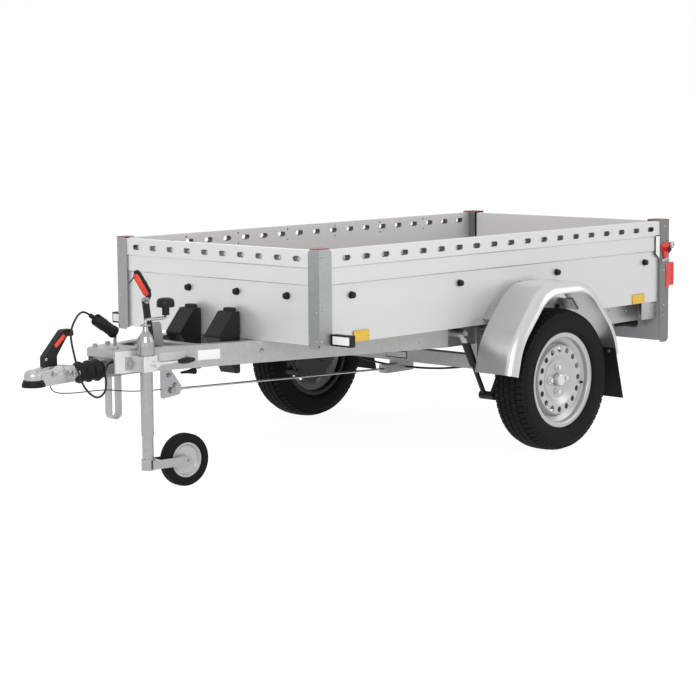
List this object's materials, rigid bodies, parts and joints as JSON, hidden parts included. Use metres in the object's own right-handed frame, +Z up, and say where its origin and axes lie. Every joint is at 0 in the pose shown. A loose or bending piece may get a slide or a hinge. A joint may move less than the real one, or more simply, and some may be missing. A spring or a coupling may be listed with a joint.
{
  "type": "utility trailer",
  "caption": "Single-axle braked utility trailer with a low drop-side style load box, V drawbar, ball coupling, jockey wheel, rear gate and silver mudguards.",
  "frame": {"origin": "on the ground, at the middle of the trailer's bounding box", "axes": "+X forwards to the coupling, +Y to the trailer's left, +Z up"},
  "size_m": [3.228, 1.6, 0.895],
  "materials": {
    "board_aluminium": "satin",
    "galvanised_steel": "satin",
    "zinc_plate": "satin",
    "silver_paint": "gloss",
    "black_steel": "satin",
    "cast_steel": "matte",
    "floor_ply": "satin",
    "tyre_rubber": "matte",
    "black_rubber": "matte",
    "black_plastic": "matte",
    "cap_plastic": "matte",
    "red_plastic": "gloss",
    "amber_plastic": "gloss",
    "clear_plastic": "gloss",
    "cable_sheath": "satin"
  },
  "bodies": {
    "chassis": {"side_panel_left": "board_aluminium", "side_panel_right": "board_aluminium", "front_panel": "board_aluminium", "corner_posts_front": "galvanised_steel", "corner_posts_rear": "galvanised_steel", "drawbar_left": "galvanised_steel", "drawbar_right": "galvanised_steel", "side_rails": "galvanised_steel", "cross_members": "galvanised_steel", "rear_skirt": "galvanised_steel", "axle_beam": "galvanised_steel", "swing_arm_left": "galvanised_steel", "swing_arm_right": "galvanised_steel", "overrun_housing": "galvanised_steel", "drawbar_plate": "galvanised_steel", "rest_hoop": "galvanised_steel", "fender_brackets": "galvanised_steel", "brake_equaliser": "galvanised_steel", "tailgate_hinges": "galvanised_steel", "fender_left": "galvanised_steel", "fender_right": "galvanised_steel", "jockey_clamp": "zinc_plate", "jockey_tube": "zinc_plate", "brake_rod": "zinc_plate", "brake_linkage": "zinc_plate", "chock_holders": "zinc_plate", "plug_holder": "zinc_plate", "handbrake_bracket": "zinc_plate", "shock_absorber_left": "black_steel", "shock_absorber_right": "black_steel", "handbrake_lever": "black_steel", "jockey_crank": "black_steel", "coupling_head": "cast_steel", "floor_panel": "floor_ply", "mudflaps": "black_rubber", "drawbar_bellows": "black_rubber", "coupling_cap": "black_rubber", "wheel_chocks": "black_plastic", "tarp_knobs": "black_plastic", "light_plug": "black_plastic", "coupling_lever": "black_plastic", "post_caps": "cap_plastic", "rear_lamps": "red_plastic", "tailgate_latches": "red_plastic", "side_reflectors": "amber_plastic", "marker_lamps": "clear_plastic", "light_cable": "cable_sheath", "breakaway_cable": "cable_sheath", "brake_cables": "cable_sheath"},
    "wheel_left": {"rim_left": "silver_paint", "tyre_left": "tyre_rubber", "hub_left": "black_steel"},
    "wheel_right": {"rim_right": "silver_paint", "tyre_right": "tyre_rubber", "hub_right": "black_steel"},
    "gate": {"tailgate": "board_aluminium"},
    "jockey_slider": {"jockey_leg": "zinc_plate"},
    "jockey_swivel": {"jockey_fork": "zinc_plate"},
    "jockey_wheel": {"jockey_rim": "silver_paint", "jockey_tyre": "black_rubber"}
  },
  "joints": [
    {"name": "wheel_left_spin", "type": "hinge", "parent": "chassis", "child": "wheel_left", "pos_m": [-0.554, 0.705, 0.2925], "axis": [0, 1, 0], "continuous": true},
    {"name": "wheel_right_spin", "type": "hinge", "parent": "chassis", "child": "wheel_right", "pos_m": [-0.554, -0.705, 0.2925], "axis": [0, 1, 0], "continuous": true},
    {"name": "gate_hinge", "type": "hinge", "parent": "chassis", "child": "gate", "pos_m": [-1.531, 0, 0.491], "axis": [0, -1, 0], "range_deg": [0, 180]},
    {"name": "jockey_lift", "type": "slide", "parent": "chassis", "child": "jockey_slider", "axis": [0, 0, 1], "range_m": [-0.15, 0.055]},
    {"name": "jockey_swivel_turn", "type": "hinge", "parent": "jockey_slider", "child": "jockey_swivel", "pos_m": [1.155, 0.142, 0.1], "axis": [0, 0, 1], "continuous": true},
    {"name": "jockey_wheel_spin", "type": "hinge", "parent": "jockey_swivel", "child": "jockey_wheel", "pos_m": [0.99222, 0.16199, 0.1], "axis": [0.1219, 0.9925, 0], "continuous": true}
  ]
}
